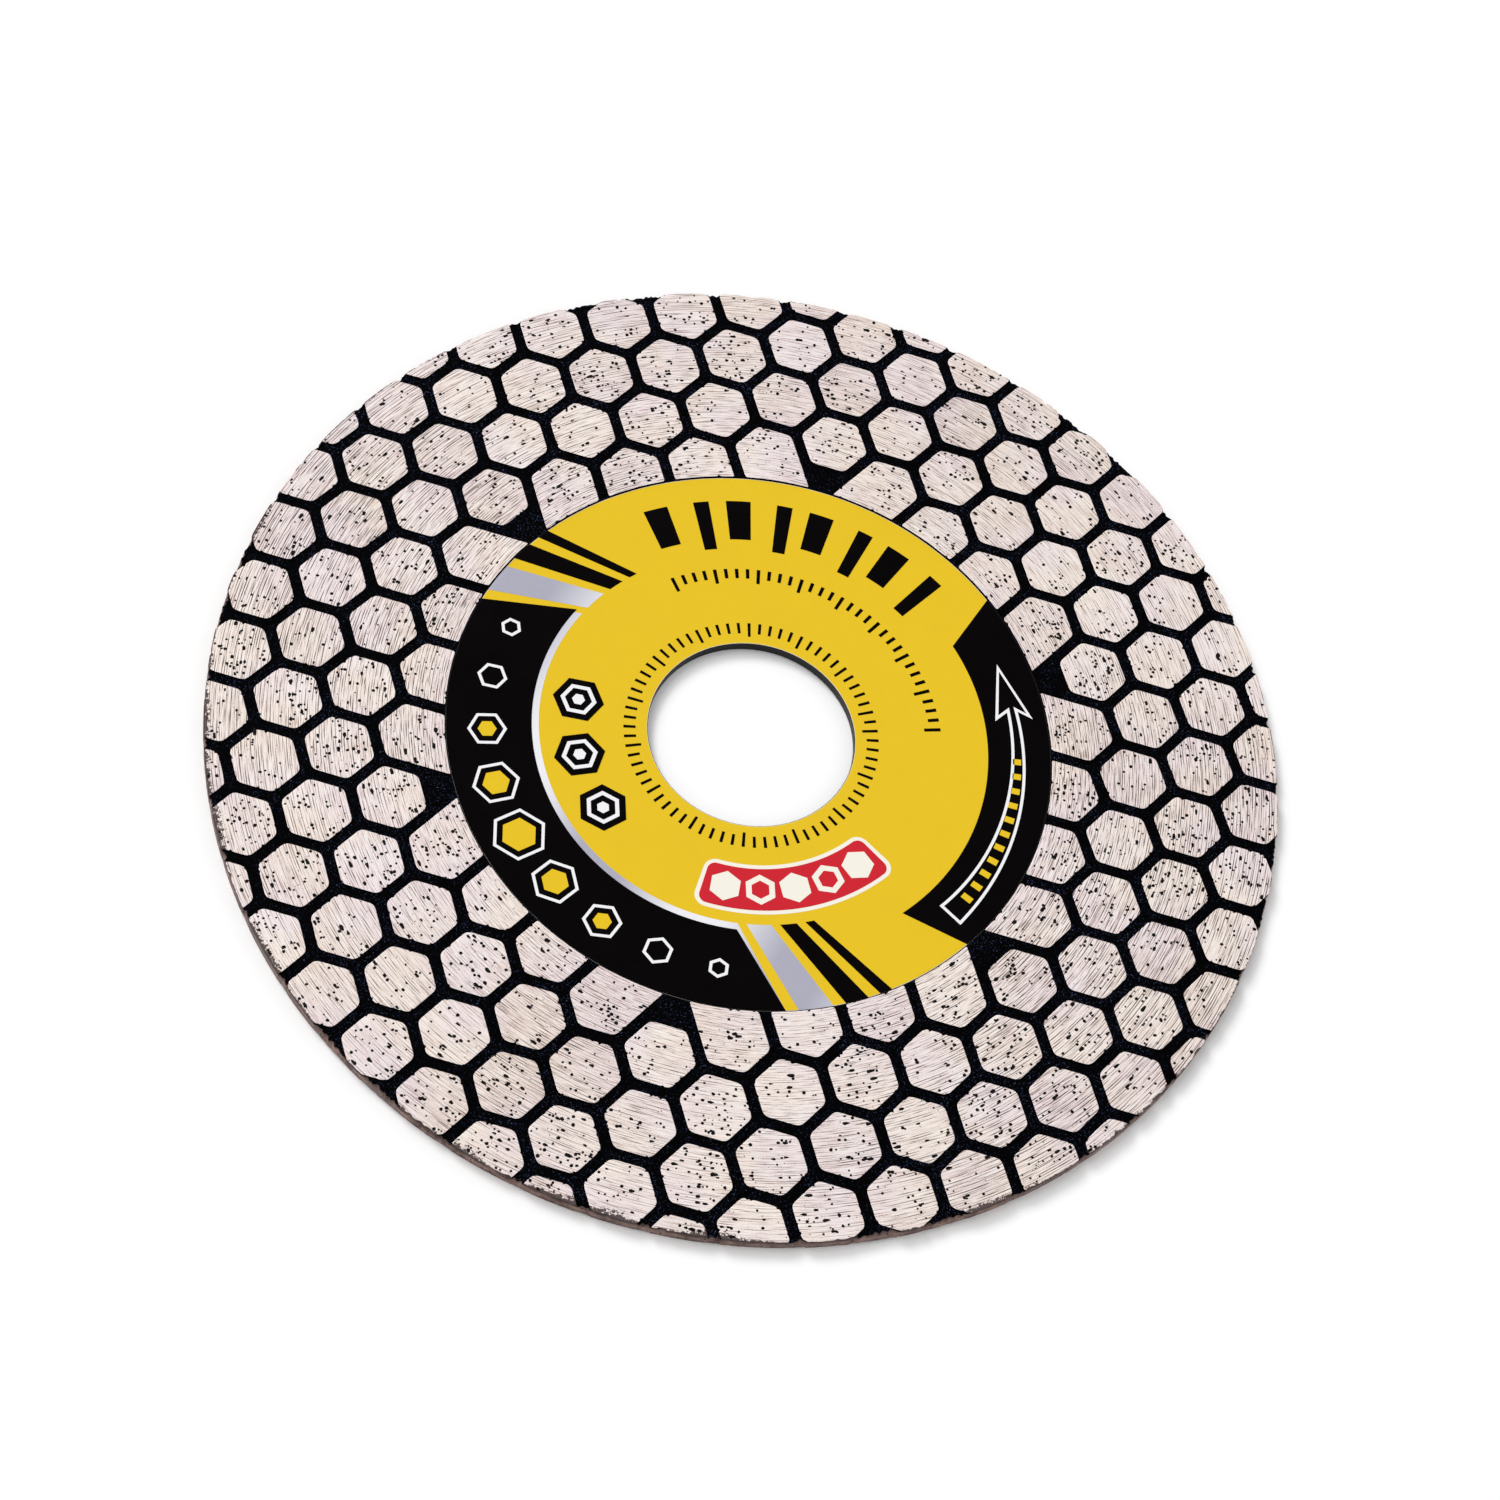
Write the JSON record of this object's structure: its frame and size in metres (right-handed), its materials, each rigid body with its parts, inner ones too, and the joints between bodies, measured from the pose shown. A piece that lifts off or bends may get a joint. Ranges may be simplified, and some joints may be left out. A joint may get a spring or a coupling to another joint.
{
  "type": "diamond tile blade",
  "caption": "Thin double-sided diamond blade for an angle grinder: steel core with a round bore, sintered rim covered in hexagonal grinding pads, and a round label.",
  "frame": {"origin": "on the bore's axis, at the plane of the back pads that the blade lies on", "axes": "+Z along the spindle axis, out of the labelled front face; +X along one of the six directions that have a dark gap in the inner row of pads"},
  "size_m": [0.115, 0.115, 0.0016],
  "materials": {
    "black_painted_steel": "satin black stoved paint on steel",
    "sintered_web": "hot-pressed bronze and iron matrix, ground at the cutting edge",
    "black_groove_coat": "thin blue-black paint, fine speckle",
    "printed_label": "gloss yellow printed film",
    "diamond_matrix": "ground sintered diamond matrix with fine scratches round the axis and dark grit"
  },
  "bodies": {
    "root": {"steel_core": "black_painted_steel", "rim_web": "sintered_web", "front_groove_coat": "black_groove_coat", "back_groove_coat": "black_groove_coat", "front_label": "printed_label", "front_gap_pads": "diamond_matrix", "front_inner_pads": "diamond_matrix", "front_inner_flank_pads": "diamond_matrix", "front_second_row_corner_pads": "diamond_matrix", "front_second_row_pads": "diamond_matrix", "front_third_row_pads": "diamond_matrix", "front_edge_pads": "diamond_matrix", "front_edge_sliver_pads": "diamond_matrix", "back_gap_pads": "diamond_matrix", "back_inner_pads": "diamond_matrix", "back_inner_flank_pads": "diamond_matrix", "back_second_row_corner_pads": "diamond_matrix", "back_second_row_pads": "diamond_matrix", "back_third_row_pads": "diamond_matrix", "back_edge_pads": "diamond_matrix", "back_edge_sliver_pads": "diamond_matrix"}
  },
  "joints": []
}
